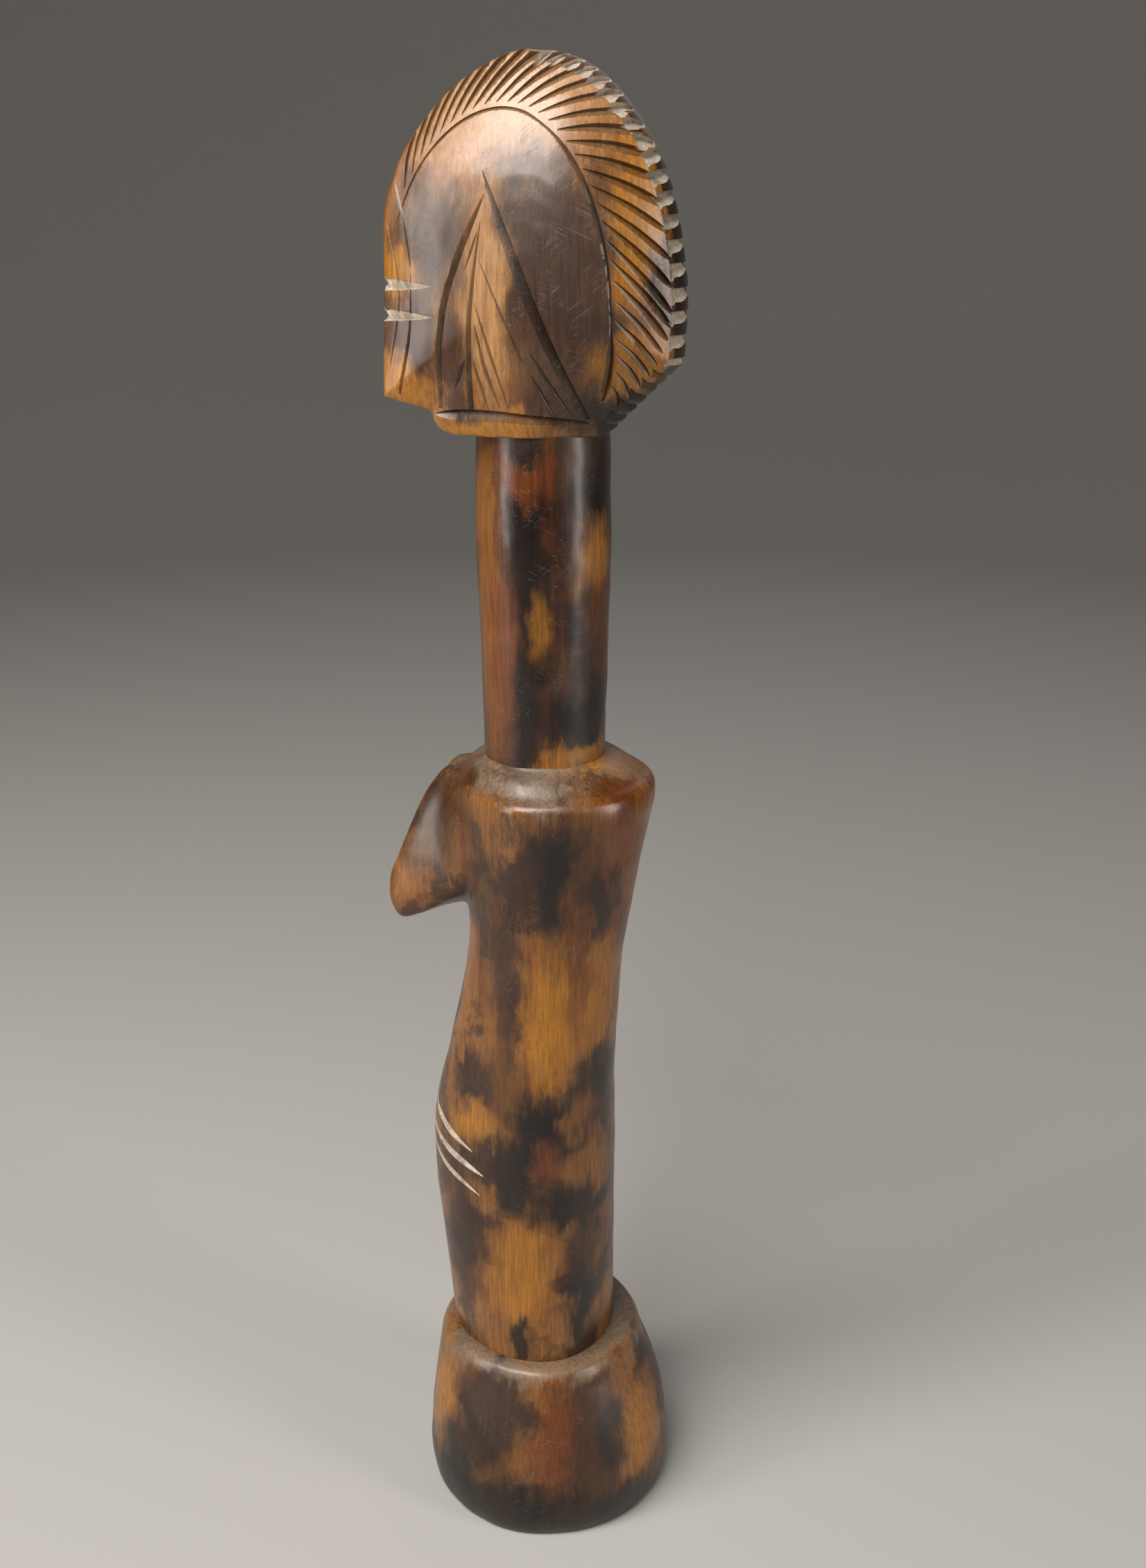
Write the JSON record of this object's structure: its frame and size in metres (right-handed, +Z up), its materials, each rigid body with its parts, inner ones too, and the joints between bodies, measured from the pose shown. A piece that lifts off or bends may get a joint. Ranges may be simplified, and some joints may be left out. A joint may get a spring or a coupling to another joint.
{
  "type": "carved wooden fertility doll",
  "caption": "Slim standing wooden figure: drum base, torso with swelling belly and pointed breasts, round neck, and a flat helmet head with an incised side and a notched crest.",
  "frame": {"origin": "centre of the base's flat underside, on the axis of the neck and base", "axes": "+Z up along the figure, the face looks towards -Y, and +X is the figure's own left side"},
  "size_m": [0.049, 0.0534, 0.272],
  "materials": {
    "base_wood": "waxed, scorched brown over honey wood",
    "body_wood": "waxed, honey wood with scorched patches",
    "neck_wood": "polished, dark brown over honey wood",
    "head_wood": "polished, warm brown with dark cuts"
  },
  "bodies": {
    "root": {"base": "base_wood", "torso": "body_wood", "left_breast": "body_wood", "right_breast": "body_wood", "neck": "neck_wood", "head": "head_wood"}
  },
  "joints": []
}
